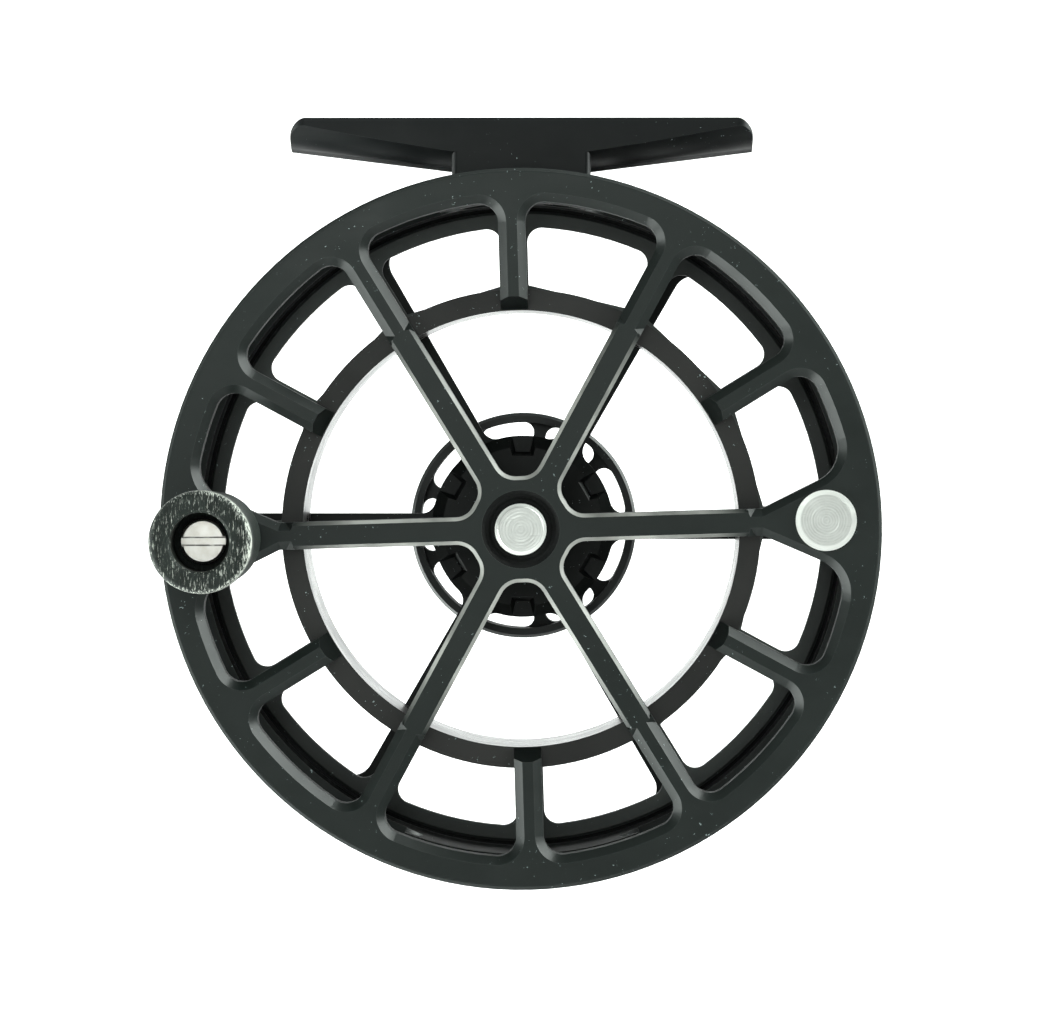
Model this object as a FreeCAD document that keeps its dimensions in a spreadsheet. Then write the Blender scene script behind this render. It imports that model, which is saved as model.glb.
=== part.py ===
"""Fly reel with a rear disc drag, as a parametric FreeCAD document (millimetres).

The reel hangs below the rod: +X runs along the rod, +Y goes from the handle side to the
drag knob, +Z points from the reel's axle to the rod. The origin is on the rod's axis, over
the middle of the foot. Every sub-part is drawn about the reel's own axle (radius across,
depth along +Y, counted from the spool's front face) and its Placement carries it to the origin.
"""
import FreeCAD, Part
import math
import os
import re
import Sketcher
from FreeCAD import Placement, Rotation, Vector

SIZES = {
    # where the reel's axle lies from the rod, and how far the spool is turned at rest
    "rod_axis_height": 60.72,
    "foot_centre_depth": 13.5,
    "spool_angle": 1.7,
    # spool: front flange, arms and windows
    "flange_radius": 49.0,
    "flange_depth": 4.0,
    "edge_break": 0.4,
    "arm_depth": 4.5,
    "arm_width": 3.7,
    "hub_web_radius": 7.2,
    "hub_corner_radius": 2.7,
    "hub_plate_radius": 11.5,
    "rim_inner_radius": 44.6,
    "rim_corner_radius": 2.6,
    "window_chamfer": 1.12,
    "web_chamfer": 0.5,
    "chamfer_step_radius": 31.2,
    "rib_tip_radius": 29.9,
    "rib_slope_radius": 31.6,
    "boss_start_radius": 32.9,
    "boss_flare_angle": 25.0,
    "boss_corner_radius": 4.6,
    # spool: arbor and rear flange
    "arbor_inner_radius": 29.8,
    "arbor_outer_radius": 32.7,
    "arbor_back_depth": 22.0,
    "rear_flange_front": 20.5,
    "rear_flange_radius": 44.1,
    "rear_window_outer": 41.9,
    "rear_window_inner": 33.7,
    "rear_corner_radius": 2.0,
    # spool: hub barrel and what it holds
    "barrel_radius": 7.1,
    "barrel_back": 21.6,
    "cap_seat_radius": 5.3,
    "cap_seat_depth": 3.3,
    "spring_web_back": 4.1,
    "stem_hole_radius": 1.6,
    "tip_bore_radius": 3.3,
    "clip_groove_front": 6.0,
    "clip_groove_back": 6.9,
    "clip_groove_radius": 3.75,
    "bearing_bore_front": 7.4,
    "front_bearing_radius": 5.0,
    "clutch_bore_front": 12.2,
    "clutch_bore_radius": 6.0,
    "ring_groove_front": 20.95,
    "ring_groove_back": 21.35,
    "ring_groove_radius": 6.4,
    # handle and counterweight
    "handle_radius": 41.6,
    "handle_length": 25.5,
    "handle_mouth_radius": 3.9,
    "handle_mouth_depth": 8.2,
    "handle_bore_radius": 2.62,
    "post_radius": 2.1,
    "post_front": 17.5,
    "bush_radius": 2.56,
    "screw_head_radius": 2.95,
    "screw_shank_radius": 1.2,
    "counterweight_radius": 4.13,
    "counterweight_orbit": 41.4,
    # frame: rings, spokes, drag housing
    "ring_inner_radius": 44.75,
    "ring_outer_radius": 48.6,
    "front_ring_front": 4.5,
    "front_ring_back": 8.0,
    "front_ring_inner": 45.6,
    "back_lip_inner": 43.2,
    "rear_ring_front": 17.0,
    "frame_back": 27.0,
    "frame_spoke_front": 23.4,
    "frame_spoke_width": 3.6,
    "housing_radius": 12.75,
    "housing_bore": 11.0,
    "housing_front": 22.4,
    "housing_wall_back": 24.0,
    "housing_back": 34.8,
    "sleeve_hole_radius": 5.12,
    "seal_groove_radius": 6.0,
    "seal_groove_front": 22.75,
    "seal_groove_back": 23.65,
    "snap_groove_radius": 11.25,
    "snap_groove_front": 33.65,
    "snap_groove_back": 34.35,
    "scoop_depth": 1.1,
    "scoop_reach": 2.9,
    "scoop_inner_width": 3.0,
    "scoop_outer_width": 4.8,
    "frame_corner_radius": 3.0,
    "frame_bevel": 0.7,
    "frame_hub_fillet": 2.0,
    "pillar_angle": 42.0,
    "bridge_angle": 29.0,
    "scoop_radius": 3.4,
    # foot
    "rod_radius": 8.5,
    "foot_length": 63.5,
    "foot_width": 14.4,
    "foot_top": 56.2,
    "foot_root_radius": 11.62,
    "foot_tip_radius": 8.87,
    "foot_corner_radius": 2.2,
    "pedestal_width": 19.0,
    "pedestal_depth": 14.4,
    "pedestal_corner_radius": 0.8,
    "foot_screw_offset": 5.6,
    "foot_screw_radius": 1.5,
    "foot_screw_head_radius": 2.7,
    "foot_screw_bottom": 44.75,
    "foot_screw_top": 51.2,
    "foot_screw_head_height": 1.6,
    "foot_socket_radius": 1.15,
    "foot_socket_depth": 1.1,
    "foot_block_bottom": 46.0,
    "pedestal_bottom": 45.5,
    # drag and axle
    "spindle_radius": 3.0,
    "spindle_tip": 4.7,
    "spindle_neck_radius": 2.3,
    "cover_radius": 10.95,
    "cover_front": 32.4,
    "cover_back": 33.6,
    "stud_radius": 2.5,
    "stud_back": 38.85,
    "stud_hole_radius": 1.5,
    "sleeve_radius": 4.0,
    "sleeve_front": 12.0,
    "sleeve_back": 28.3,
    "sleeve_bore": 3.6,
    "sleeve_seat_radius": 5.05,
    "sleeve_seat_front": 22.1,
    "gear_front": 24.2,
    "gear_back": 25.6,
    "gear_root_radius": 6.2,
    "gear_tip_radius": 7.0,
    "gear_teeth": 24,
    "disc_outer": 10.6,
    "disc_inner": 5.4,
    "rotor_front": 27.3,
    "rotor_back": 28.1,
    "push_pin_radius": 0.9,
    "push_pin_orbit": 5.6,
    "spring_inner": 7.0,
    "spring_outer": 10.4,
    "spring_rise": 0.3,
    "spring_thickness": 0.38,
    "washer_front": 31.1,
    "washer_back": 31.7,
    "nut_front": 35.2,
    "nut_back": 36.6,
    "nut_radius": 7.5,
    # drag knob
    "knob_radius": 16.0,
    "knob_ring_inner": 14.65,
    "knob_ring_front": 31.4,
    "knob_web_front": 35.1,
    "knob_recess_back": 37.3,
    "knob_back": 38.8,
    "knob_slot_inner": 12.75,
    "knob_slots": 9,
    "knob_rib_width": 1.7,
    "knob_slot_corner": 1.4,
    "detent_orbit": 11.9,
    "detent_ball_radius": 0.6,
    "pawl_orbit": 9.2,
    "pawl_angle": 60.0,
    "pawl_pin_radius": 0.65,
    "button_radius": 3.5,
    "screw_slot_width": 1.15,
    "running_gap": 0.04,
}

document = FreeCAD.newDocument("fly_reel")
sheet = document.addObject("Spreadsheet::Sheet", "sizes")
for row, (alias, value) in enumerate(SIZES.items(), start=1):
    sheet.set("A%d" % row, alias)
    sheet.set("B%d" % row, str(value))
    sheet.setAlias("B%d" % row, alias)
document.recompute()

PARTS = {}


def size(alias):
    """A driving dimension, read from the sheet."""
    return float(sheet.get(alias))


def cell(expression):
    """An expression with every sheet alias in it written as a reference to the sheet."""
    return re.sub(r"\b([a-z]+_\w+)", r"sizes.\1", str(expression))


def polar(radius, degrees):
    """A point in the plane of the spool's face."""
    angle = math.radians(degrees)
    return Vector(radius * math.cos(angle), radius * math.sin(angle), 0)


# ---------------------------------------------------------------- placing and registering

def place(part, turn=0.0, orbit=None, spin_with_spool=False):
    """Carry a part from the reel's axle to the row's origin, and keep it as a sub-part."""
    own = Rotation(Vector(0, 1, 0), turn)
    offset = Vector(orbit or (0, 0, 0))
    if spin_with_spool:
        swing = Rotation(Vector(0, 1, 0), -size("spool_angle"))
        own = swing.multiply(own)
        offset = swing.multVec(offset)
    part.Placement = Placement(offset, own)
    part.setExpression("Placement.Base.x", "%.9f" % offset.x)
    part.setExpression("Placement.Base.y", cell("%.9f - foot_centre_depth" % offset.y))
    part.setExpression("Placement.Base.z", cell("%.9f - rod_axis_height" % offset.z))
    PARTS[part.Label] = part
    return part


def on_spool(part, orbit=None):
    """Place a part that turns with the spool."""
    return place(part, orbit=orbit, spin_with_spool=True)


# ---------------------------------------------------------------- PartDesign helpers

def new_body(label):
    return document.addObject("PartDesign::Body", label)


def new_sketch(body, name, role, height="0"):
    """A sketch on one of the body's own origin planes, raised along the plane's normal."""
    sketch = body.newObject("Sketcher::SketchObject", body.Label + "_" + name)
    plane = [feature for feature in body.Origin.OriginFeatures if feature.Role == role][0]
    sketch.AttachmentSupport = [(plane, "")]
    sketch.MapMode = "FlatFace"
    sketch.setExpression("AttachmentOffset.Base.z", cell(height))
    return sketch


def add_loop(sketch, points):
    """A closed outline whose corners are dimensioned from the sketch's origin by the sheet."""
    first = sketch.GeometryCount
    count = len(points)
    start = [polar(30, 360.0 * i / count) for i in range(count)]
    for i in range(count):
        sketch.addGeometry(Part.LineSegment(start[i], start[(i + 1) % count]), False)
    for i in range(count):
        after = first + (i + 1) % count
        sketch.addConstraint(Sketcher.Constraint("Coincident", first + i, 2, after, 1))
    for i, (across, along) in enumerate(points):
        for kind, wanted, seen in (("DistanceX", across, start[i].x), ("DistanceY", along, start[i].y)):
            number = sketch.addConstraint(Sketcher.Constraint(kind, -1, 1, first + i, 1, seen))
            sketch.setExpression("Constraints[%d]" % number, cell(wanted))


def add_circle(sketch, across, along, radius):
    """A circle whose centre and radius come from the sheet."""
    number = sketch.addGeometry(Part.Circle(Vector(5, 5, 0), Vector(0, 0, 1), 2), False)
    for kind, wanted in (("DistanceX", across), ("DistanceY", along)):
        constraint = sketch.addConstraint(Sketcher.Constraint(kind, -1, 1, number, 3, 5))
        sketch.setExpression("Constraints[%d]" % constraint, cell(wanted))
    constraint = sketch.addConstraint(Sketcher.Constraint("Radius", number, 2))
    sketch.setExpression("Constraints[%d]" % constraint, cell(radius))


def revolve(body, sketch, angle="360", groove=False):
    """Turn a profile about the reel's axle (the sketch's vertical axis)."""
    kind = "PartDesign::Groove" if groove else "PartDesign::Revolution"
    feature = body.newObject(kind, sketch.Name + "_turned")
    feature.Profile = (sketch, [""])
    feature.ReferenceAxis = (sketch, ["V_Axis"])
    feature.Midplane = True
    feature.setExpression("Angle", cell(angle))
    body.Tip = feature
    document.recompute()
    return feature


def turned(label, *profiles, angle="360"):
    """A body turned about the axle from closed (radius, depth) profiles."""
    body = new_body(label)
    sketch = new_sketch(body, "profile", "XY_Plane")
    for profile in profiles:
        add_loop(sketch, profile)
    revolve(body, sketch, angle)
    return body


def box_profile(inner, outer, front, back):
    return [(inner, front), (outer, front), (outer, back), (inner, back)]


def ring(label, inner, outer, front, back):
    return turned(label, box_profile(inner, outer, front, back))


def extrude(body, sketch, length, cut=False, forward=False, taper="0", both=False):
    """Pad or pocket a sketch; a wrong direction shows as an unchanged volume."""
    before = body.Shape.Volume if body.Tip else 0.0
    feature = body.newObject("PartDesign::Pocket" if cut else "PartDesign::Pad", sketch.Name + "_run")
    feature.Profile = (sketch, [""])
    feature.setExpression("Length", cell(length))
    feature.Reversed = forward
    feature.Midplane = both
    if taper != "0":
        feature.setExpression("TaperAngle", cell(taper))
    body.Tip = feature
    document.recompute()
    if abs(body.Shape.Volume - before) < 1e-3:
        raise RuntimeError("%s changes nothing" % feature.Name)
    return feature


def around(body, feature, count):
    """Repeat a feature about the reel's axle."""
    pattern = body.newObject("PartDesign::PolarPattern", feature.Name + "_around")
    pattern.Originals = [feature]
    axis = [item for item in body.Origin.OriginFeatures if item.Role == "Y_Axis"][0]
    pattern.Axis = (axis, [""])
    pattern.Angle = 360
    pattern.setExpression("Occurrences", cell(count))
    body.Tip = pattern
    document.recompute()
    return pattern


def balls(name, orbit, depth, radius, count):
    """A ring of separate balls."""
    items = []
    for i in range(count):
        ball = document.addObject("Part::Sphere", "%s_%d" % (name, i))
        ball.setExpression("Radius", cell(radius))
        spot = polar(orbit, 360.0 * i / count)
        ball.Placement.Base = Vector(spot.x, depth, spot.y)
        items.append(ball)
    return items


def coil(label, coil_radius, wire_radius, front, back, turns):
    """A compression spring wound about the axle."""
    body = new_body(label)
    sketch = new_sketch(body, "wire", "XY_Plane")
    add_circle(sketch, str(coil_radius), str(front + wire_radius), str(wire_radius))
    helix = body.newObject("PartDesign::AdditiveHelix", label + "_turns")
    helix.Profile = (sketch, [""])
    helix.ReferenceAxis = (sketch, ["V_Axis"])
    helix.Mode = "height-turns-angle"
    helix.Height = back - front - 2 * wire_radius
    helix.Turns = turns
    body.Tip = helix
    document.recompute()
    return body


def open_ring(label, inner, outer, front, back, angle="320"):
    """A snap ring: a flat ring with a gap."""
    return turned(label, box_profile(inner, outer, front, back), angle=angle)


def rods(label, orbit, front, length, radius, count, start=0.0):
    """A ring of separate round rods parallel to the axle, as one node."""
    items = []
    for i in range(count):
        rod = document.addObject("Part::Cylinder", "%s_%d" % (label, i))
        rod.setExpression("Radius", cell(radius))
        rod.setExpression("Height", cell(length))
        spot = polar(orbit, start + 360.0 * i / count)
        rod.Placement = Placement(Vector(spot.x, front, spot.y), Rotation(Vector(1, 0, 0), -90))
        items.append(rod)
    return gather(label, items)


def gather(label, items):
    """Several separate solids held as one node."""
    group = document.addObject("Part::Compound", label)
    group.Links = items
    document.recompute()
    return group


def cut_away(label, base, tool):
    """The base without the tool."""
    result = document.addObject("Part::Cut", label)
    result.Base = base
    result.Tool = tool
    document.recompute()
    return result


# ---------------------------------------------------------------- window outlines

def corner(arm, side, half_width, rim, fillet, inner, flare=0.0, flare_start=0.0):
    """The side of an arm and its rounded corner at the rim.

    Returns the side's inner point, the points where the flare starts (or None), and the start,
    middle and end of the corner's arc. side is +1 for the side that faces rising angles.
    """
    along = polar(1, arm)
    across = polar(1, arm + 90) * side
    slope = math.radians(flare)
    base = flare_start if flare else 0.0
    run = Vector(math.cos(slope), math.sin(slope), 0)
    centre_start = Vector(base - fillet * math.sin(slope), half_width + fillet * math.cos(slope), 0)
    half = centre_start.dot(run)
    reach = -half + math.sqrt(half * half - centre_start.Length ** 2 + (rim - fillet) ** 2)

    def world(local):
        return along * local.x + across * local.y

    centre = centre_start + run * reach
    on_side = Vector(base, half_width, 0) + run * reach
    on_rim = centre * (rim / centre.Length)
    bisector = (on_side - centre) + (on_rim - centre)
    middle = centre + bisector * (fillet / bisector.Length)
    kink = world(Vector(base, half_width, 0)) if flare else None
    foot = world(Vector(inner, half_width, 0))
    return foot, kink, world(on_side), world(middle), world(on_rim)


def line_up(sketch, points):
    """Straight edges through the points that are given."""
    points = [point for point in points if point is not None]
    for one, two in zip(points, points[1:]):
        if (two - one).Length > 1e-6:
            sketch.addGeometry(Part.LineSegment(one, two), False)


def rim_arc(sketch, start, end, rim):
    middle = start + end
    sketch.addGeometry(Part.Arc(start, middle * (rim / middle.Length), end), False)


def flare_of(arm):
    """The arms that carry the handle and the counterweight widen towards the rim."""
    return size("boss_flare_angle") if arm % 180 == 0 else 0.0


def window(sketch, low_arm, high_arm, rim, fillet, half_width, low_inner, high_inner, boss_fillet=None):
    """The outline between two neighbouring arms, closed by a straight edge at its inner end.

    With a boss_fillet, the arms that carry the handle and the counterweight flare.
    """
    ends = []
    for arm, side, inner in ((low_arm, 1, low_inner), (high_arm, -1, high_inner)):
        flare = flare_of(arm) if boss_fillet else 0.0
        ends.append(corner(arm, side, half_width, rim, boss_fillet if flare else fillet, inner,
                           flare, size("boss_start_radius")))
    low, high = ends
    line_up(sketch, [high[0], low[0], low[1], low[2]])
    sketch.addGeometry(Part.Arc(low[2], low[3], low[4]), False)
    rim_arc(sketch, low[4], high[4], rim)
    sketch.addGeometry(Part.Arc(high[4], high[3], high[2]), False)
    line_up(sketch, [high[2], high[1], high[0]])


def hub_corner(arm, side, half_width, web, fillet):
    """The rounded corner where an arm's side meets the hub: on the arm, middle, on the hub."""
    along = polar(1, arm)
    across = polar(1, arm + 90) * side
    reach = math.sqrt((web + fillet) ** 2 - (half_width + fillet) ** 2)
    centre = along * reach + across * (half_width + fillet)
    on_side = along * reach + across * half_width
    on_hub = centre * (web / centre.Length)
    bisector = (on_side - centre) + (on_hub - centre)
    return on_side, centre + bisector * (fillet / bisector.Length), on_hub


def hub_end(sketch, arm, half_width, web, fillet):
    """The hub's end of an opening: a corner, the hub's own arc and the other corner."""
    low = hub_corner(arm, 1, half_width, web, fillet)
    high = hub_corner(arm + 60, -1, half_width, web, fillet)
    sketch.addGeometry(Part.Arc(low[0], low[1], low[2]), False)
    rim_arc(sketch, low[2], high[2], web)
    sketch.addGeometry(Part.Arc(high[2], high[1], high[0]), False)
    return low[0], high[0]


def full_opening(sketch, arm):
    """The opening between two full arms, with the short rib standing in from the rim."""
    half = size("arm_width") / 2
    rim = size("rim_inner_radius")
    small = size("rim_corner_radius")
    large = size("boss_corner_radius")
    start = size("boss_start_radius")
    tip = size("rib_tip_radius")
    low_foot, high_foot = hub_end(sketch, arm, half, size("hub_web_radius"), size("hub_corner_radius"))
    sides = []
    for at, side, inner in ((arm, 1, 10), (arm + 30, -1, tip), (arm + 30, 1, tip), (arm + 60, -1, 10)):
        flare = flare_of(at)
        sides.append(corner(at, side, half, rim, large if flare else small, inner, flare, start))
    first, rib_low, rib_high, last = sides
    line_up(sketch, [low_foot, first[1], first[2]])
    sketch.addGeometry(Part.Arc(first[2], first[3], first[4]), False)
    rim_arc(sketch, first[4], rib_low[4], rim)
    sketch.addGeometry(Part.Arc(rib_low[4], rib_low[3], rib_low[2]), False)
    line_up(sketch, [rib_low[2], rib_low[0], rib_high[0], rib_high[2]])
    sketch.addGeometry(Part.Arc(rib_high[2], rib_high[3], rib_high[4]), False)
    rim_arc(sketch, rib_high[4], last[4], rim)
    sketch.addGeometry(Part.Arc(last[4], last[3], last[2]), False)
    line_up(sketch, [last[2], last[1], high_foot])


# ---------------------------------------------------------------- spool

def spool_front_flange():
    """Front flange with its rim, six arms, six short ribs and the hub barrel."""
    rim = [
        ("rib_tip_radius", "arm_depth"),
        ("rib_slope_radius", "0"),
        ("flange_radius - edge_break", "0"),
        ("flange_radius", "edge_break"),
        ("flange_radius", "flange_depth"),
        ("rim_inner_radius - 1", "flange_depth"),
        ("rim_inner_radius - 1", "arm_depth"),
    ]
    hub = [
        ("cap_seat_radius", "0"),
        ("hub_plate_radius", "0"),
        ("hub_plate_radius", "arm_depth"),
        ("barrel_radius", "arm_depth"),
        ("barrel_radius", "barrel_back"),
        ("clutch_bore_radius", "barrel_back"),
        ("clutch_bore_radius", "ring_groove_back"),
        ("ring_groove_radius", "ring_groove_back"),
        ("ring_groove_radius", "ring_groove_front"),
        ("clutch_bore_radius", "ring_groove_front"),
        ("clutch_bore_radius", "clutch_bore_front"),
        ("front_bearing_radius", "clutch_bore_front"),
        ("front_bearing_radius", "bearing_bore_front"),
        ("tip_bore_radius", "bearing_bore_front"),
        ("tip_bore_radius", "clip_groove_back"),
        ("clip_groove_radius", "clip_groove_back"),
        ("clip_groove_radius", "clip_groove_front"),
        ("tip_bore_radius", "clip_groove_front"),
        ("tip_bore_radius", "spring_web_back"),
        ("stem_hole_radius", "spring_web_back"),
        ("stem_hole_radius", "cap_seat_depth"),
        ("cap_seat_radius", "cap_seat_depth"),
    ]
    body = turned("spool_front_flange", rim, hub)
    bar = new_sketch(body, "arm", "XZ_Plane")
    add_loop(bar, [
        ("cap_seat_radius + 0.5", "-arm_width / 2"),
        ("rim_inner_radius - 8", "-arm_width / 2"),
        ("rim_inner_radius - 8", "arm_width / 2"),
        ("cap_seat_radius + 0.5", "arm_width / 2"),
    ])
    around(body, extrude(body, bar, "arm_depth", forward=True), "6")
    openings = new_sketch(body, "openings", "XZ_Plane")
    for arm in range(0, 360, 60):
        full_opening(openings, arm)
    extrude(body, openings, "arm_depth + 1", cut=True)
    bevel_windows(body)
    bevel_web(body)
    holes = new_sketch(body, "holes", "XZ_Plane")
    add_circle(holes, "counterweight_orbit", "0", "counterweight_radius")
    add_circle(holes, "-handle_radius", "0", "screw_shank_radius + 0.6")
    extrude(body, holes, "arm_depth + 1", cut=True)
    return on_spool(body)


def bevel_windows(body):
    """Wide bevel round the windows outside the arbor."""
    bevel = size("window_chamfer")
    sketch = new_sketch(body, "window_bevel", "XZ_Plane")
    for arm in range(0, 360, 30):
        inners = [size("chamfer_step_radius") if at % 60 == 0 else size("rib_tip_radius") - 1
                  for at in (arm, arm + 30)]
        window(sketch, arm, arm + 30, size("rim_inner_radius") + bevel,
               size("rim_corner_radius") + bevel, size("arm_width") / 2 - bevel,
               inners[0], inners[1], size("boss_corner_radius") + bevel)
    extrude(body, sketch, "window_chamfer", cut=True, taper="-45")


def bevel_web(body):
    """Narrow bevel on the arms and the hub inside the arbor."""
    bevel = size("web_chamfer")
    half = size("arm_width") / 2 - bevel
    sketch = new_sketch(body, "web_bevel", "XZ_Plane")
    for arm in range(0, 360, 60):
        low, high = hub_end(sketch, arm, half, size("hub_web_radius") - bevel,
                            size("hub_corner_radius") + bevel)
        reach = size("chamfer_step_radius")
        low_end = polar(reach, arm) + polar(half, arm + 90)
        high_end = polar(reach, arm + 60) - polar(half, arm + 150)
        line_up(sketch, [low, low_end, high_end, high])
    extrude(body, sketch, "web_chamfer", cut=True, taper="-45")


def spool_arbor():
    """Plain ring that the line is wound on, open in the middle."""
    return on_spool(turned("spool_arbor", [
        ("arbor_inner_radius", "arm_depth"),
        ("arbor_outer_radius", "arm_depth"),
        ("arbor_outer_radius", "arbor_back_depth"),
        ("arbor_inner_radius", "arbor_back_depth"),
    ]))


def spool_rear_flange():
    """Rear flange with twelve windows behind those of the front flange."""
    body = turned("spool_rear_flange", [
        ("arbor_outer_radius", "rear_flange_front"),
        ("rear_flange_radius - edge_break", "rear_flange_front"),
        ("rear_flange_radius", "rear_flange_front + edge_break"),
        ("rear_flange_radius", "arbor_back_depth"),
        ("arbor_outer_radius", "arbor_back_depth"),
    ])
    sketch = new_sketch(body, "windows", "XZ_Plane", "-rear_flange_front + 1")
    inner = size("rear_window_inner")
    fillet = size("rear_corner_radius")
    for arm in range(0, 360, 30):
        window(sketch, arm, arm + 30, size("rear_window_outer"), fillet, size("arm_width") / 2,
               inner, inner)
    extrude(body, sketch, "4", cut=True)
    return on_spool(body)


def spool_fittings():
    """Counterweight, hub cap, latch clip and the retaining ring of the rear bearing."""
    on_spool(turned("counterweight", [
        ("0", "-0.6"),
        ("counterweight_radius - 1.03", "-0.6"),
        ("counterweight_radius", "-0.45"),
        ("counterweight_radius", "arm_depth"),
        ("0", "arm_depth"),
    ]), orbit=(size("counterweight_orbit"), 0, 0))
    on_spool(turned("hub_cap", [
        ("button_radius + 0.12", "1.0"),
        ("button_radius + 0.6", "1.0"),
        ("button_radius + 0.95", "0.55"),
        ("cap_seat_radius - 0.5", "0.55"),
        ("cap_seat_radius", "0.15"),
        ("cap_seat_radius", "cap_seat_depth"),
        ("button_radius + 0.12", "cap_seat_depth"),
    ]))
    clip = new_body("latch_clip")
    wire = new_sketch(clip, "wire", "XY_Plane")
    add_circle(wire, "spindle_neck_radius + 0.42", "clip_groove_front + 0.45", "0.35")
    revolve(clip, wire, "310")
    on_spool(clip)
    on_spool(open_ring("hub_snap_ring", "5.3", "ring_groove_radius - 0.05",
                       "ring_groove_front + 0.02", "ring_groove_back - 0.02"))


def release_button():
    """Turned cap in the middle of the hub, pressed to free the latch clip."""
    on_spool(turned("release_button", [
        ("0", "-0.45"),
        ("button_radius - 0.55", "-0.45"),
        ("button_radius", "-0.28"),
        ("button_radius", "1.5"),
        ("stem_hole_radius - 0.1", "1.5"),
        ("stem_hole_radius - 0.1", "cap_seat_depth + 0.2"),
        ("0", "cap_seat_depth + 0.2"),
    ]))
    on_spool(coil("button_spring", 2.5, 0.2, 1.5, size("cap_seat_depth"), 3))


def spool_bearings():
    """Two ball bearings and the one-way roller clutch between them."""
    front = ("bearing_bore_front + 0.1", "bearing_bore_front + 3.1")
    rear = ("ring_groove_front - 2.65", "ring_groove_front - 0.05")
    on_spool(turned("bearing_outer_rings", box_profile("4.6", "front_bearing_radius", *front),
                    box_profile("5.5", "clutch_bore_radius", *rear)))
    on_spool(turned("bearing_inner_rings",
                    box_profile("spindle_radius + running_gap", "3.6", *front),
                    box_profile("sleeve_radius + running_gap", "4.55", *rear)))
    front_middle = size("bearing_bore_front") + 1.6
    rear_middle = size("ring_groove_front") - 1.35
    on_spool(gather("bearing_balls", balls("front_ball", 4.1, front_middle, "0.48", 9)
                    + balls("rear_ball", 5.025, rear_middle, "0.45", 12)))
    on_spool(ring("clutch_shell", "5.4", "clutch_bore_radius", "clutch_bore_front + 0.2",
                  "clutch_bore_front + 5.9"))
    on_spool(rods("clutch_rollers", 4.72, size("clutch_bore_front") + 0.7, "4.7", "0.64", 10))


# ---------------------------------------------------------------- handle

def handle_knob():
    """Barrel-shaped grip with a deep counterbore for its screw."""
    length = size("handle_length")
    mouth = size("handle_mouth_radius")
    shoulder = length - size("handle_mouth_depth")
    bore = size("handle_bore_radius")
    body = new_body("handle_knob")
    sketch = new_sketch(body, "profile", "XY_Plane")
    nose = Vector(6.0, -length, 0)
    nose_end = Vector(6.72, -length + 0.9, 0)
    base = Vector(6.4, -1.3, 0)
    foot = Vector(5.95, -0.85, 0)
    line_up(sketch, [Vector(bore, -0.85, 0), foot, base])
    sketch.addGeometry(Part.Arc(base, Vector(6.0, -8.5, 0), Vector(6.35, -16, 0)), False)
    sketch.addGeometry(Part.Arc(Vector(6.35, -16, 0), Vector(6.78, -20.5, 0), nose_end), False)
    sketch.addGeometry(Part.Arc(nose_end, Vector(6.53, -length + 0.27, 0), nose), False)
    line_up(sketch, [nose, Vector(mouth + 0.35, -length, 0), Vector(mouth, -length + 0.35, 0),
                     Vector(mouth, -shoulder, 0), Vector(bore, -shoulder, 0), Vector(bore, -0.85, 0)])
    revolve(body, sketch)
    on_spool(body, orbit=(-size("handle_radius"), 0, 0))


def handle_fittings():
    """Post, bush, washer and slotted screw that carry the handle."""
    orbit = (-size("handle_radius"), 0, 0)
    on_spool(turned("handle_post", [
        ("screw_shank_radius", "-post_front"),
        ("post_radius", "-post_front"),
        ("post_radius", "0"),
        ("screw_shank_radius + 0.6", "0"),
        ("screw_shank_radius + 0.6", "arm_depth"),
        ("0", "arm_depth"),
        ("0", "-9"),
        ("screw_shank_radius", "-9"),
    ]), orbit=orbit)
    on_spool(ring("handle_bush", "post_radius", "bush_radius", "-post_front + 0.4", "-0.8"), orbit=orbit)
    on_spool(ring("handle_washer", "post_radius", "4.8", "-0.75", "0"), orbit=orbit)
    screw = turned("handle_screw", [
        ("0", "-post_front - 1.6"),
        ("screw_head_radius - 0.3", "-post_front - 1.6"),
        ("screw_head_radius", "-post_front - 1.3"),
        ("screw_head_radius", "-post_front"),
        ("screw_shank_radius", "-post_front"),
        ("screw_shank_radius", "-9"),
        ("0", "-9"),
    ])
    slot = new_sketch(screw, "slot", "XY_Plane")
    add_loop(slot, [("-4", "-post_front - 2"), ("4", "-post_front - 2"),
                    ("4", "-post_front - 0.8"), ("-4", "-post_front - 0.8")])
    extrude(screw, slot, "screw_slot_width", cut=True, both=True)
    on_spool(screw, orbit=orbit)


# ---------------------------------------------------------------- frame

def frame_rings():
    """Front ring of the cage, behind the spool's rim."""
    place(turned("frame_front_ring", [
        ("front_ring_inner", "front_ring_front"),
        ("ring_outer_radius - edge_break", "front_ring_front"),
        ("ring_outer_radius", "front_ring_front + edge_break"),
        ("ring_outer_radius", "front_ring_back"),
        ("front_ring_inner", "front_ring_back"),
    ]))


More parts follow.
